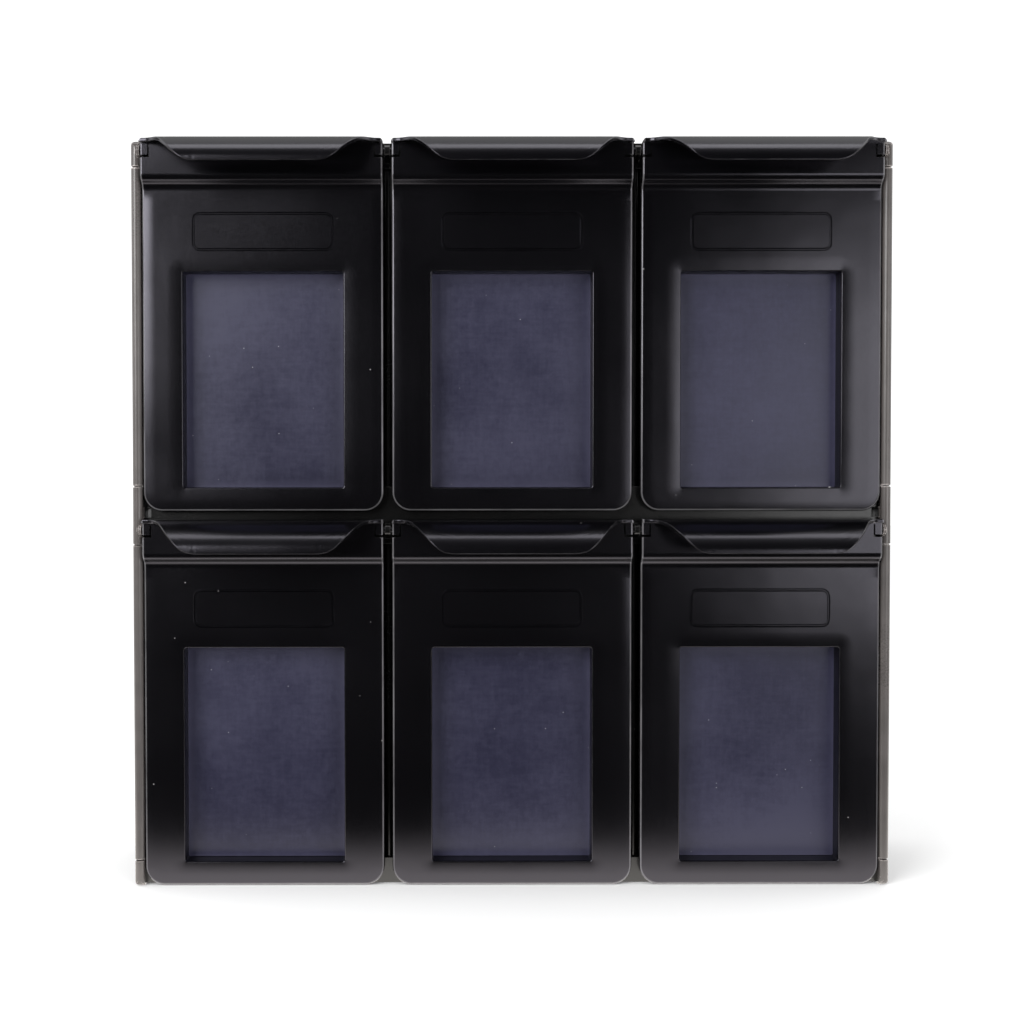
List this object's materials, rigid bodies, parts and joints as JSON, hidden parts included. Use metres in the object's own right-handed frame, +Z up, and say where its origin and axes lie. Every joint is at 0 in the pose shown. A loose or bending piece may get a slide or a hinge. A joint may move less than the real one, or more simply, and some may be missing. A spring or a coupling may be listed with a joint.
{
  "type": "trading card display case",
  "caption": "Black plastic card display case with rows of cells closed by flip-up windowed doors with finger lips, for a shelf or a wall.",
  "frame": {"origin": "centre of the case's footprint, at the underside of the bottom deck", "axes": "+X across the width, +Y to the rear, +Z up; the doors face -Y"},
  "size_m": [0.2898, 0.0958, 0.2845],
  "materials": {
    "case": "satin moulded black",
    "door": "satin moulded black",
    "window": "clear sheet with a faint haze",
    "backing": "fine matt black"
  },
  "bodies": {
    "case": {"bottom_deck": "case", "middle_deck": "case", "top_deck": "case", "outer_wall_lower_left": "case", "outer_wall_lower_right": "case", "divider_lower_left": "case", "divider_lower_right": "case", "back_panel_lower_left": "case", "back_panel_lower_centre": "case", "back_panel_lower_right": "case", "outer_wall_upper_left": "case", "outer_wall_upper_right": "case", "divider_upper_left": "case", "divider_upper_right": "case", "back_panel_upper_left": "case", "back_panel_upper_centre": "case", "back_panel_upper_right": "case"},
    "door_lower_left": {"door_lower_left": "door", "window_pane_lower_left": "window", "card_backing_lower_left": "backing"},
    "door_lower_centre": {"door_lower_centre": "door", "window_pane_lower_centre": "window", "card_backing_lower_centre": "backing"},
    "door_lower_right": {"door_lower_right": "door", "window_pane_lower_right": "window", "card_backing_lower_right": "backing"},
    "door_upper_left": {"door_upper_left": "door", "window_pane_upper_left": "window", "card_backing_upper_left": "backing"},
    "door_upper_centre": {"door_upper_centre": "door", "window_pane_upper_centre": "window", "card_backing_upper_centre": "backing"},
    "door_upper_right": {"door_upper_right": "door", "window_pane_upper_right": "window", "card_backing_upper_right": "backing"}
  },
  "joints": [
    {"name": "door_lower_left_hinge", "type": "hinge", "parent": "case", "child": "door_lower_left", "pos_m": [-0.0949, -0.02605, 0.1368], "axis": [-1, 0, 0], "range_deg": [0, 70]},
    {"name": "door_lower_centre_hinge", "type": "hinge", "parent": "case", "child": "door_lower_centre", "pos_m": [0, -0.02605, 0.1368], "axis": [-1, 0, 0], "range_deg": [0, 70]},
    {"name": "door_lower_right_hinge", "type": "hinge", "parent": "case", "child": "door_lower_right", "pos_m": [0.0949, -0.02605, 0.1368], "axis": [-1, 0, 0], "range_deg": [0, 70]},
    {"name": "door_upper_left_hinge", "type": "hinge", "parent": "case", "child": "door_upper_left", "pos_m": [-0.0949, -0.02605, 0.2804], "axis": [-1, 0, 0], "range_deg": [0, 110]},
    {"name": "door_upper_centre_hinge", "type": "hinge", "parent": "case", "child": "door_upper_centre", "pos_m": [0, -0.02605, 0.2804], "axis": [-1, 0, 0], "range_deg": [0, 110]},
    {"name": "door_upper_right_hinge", "type": "hinge", "parent": "case", "child": "door_upper_right", "pos_m": [0.0949, -0.02605, 0.2804], "axis": [-1, 0, 0], "range_deg": [0, 110]}
  ]
}
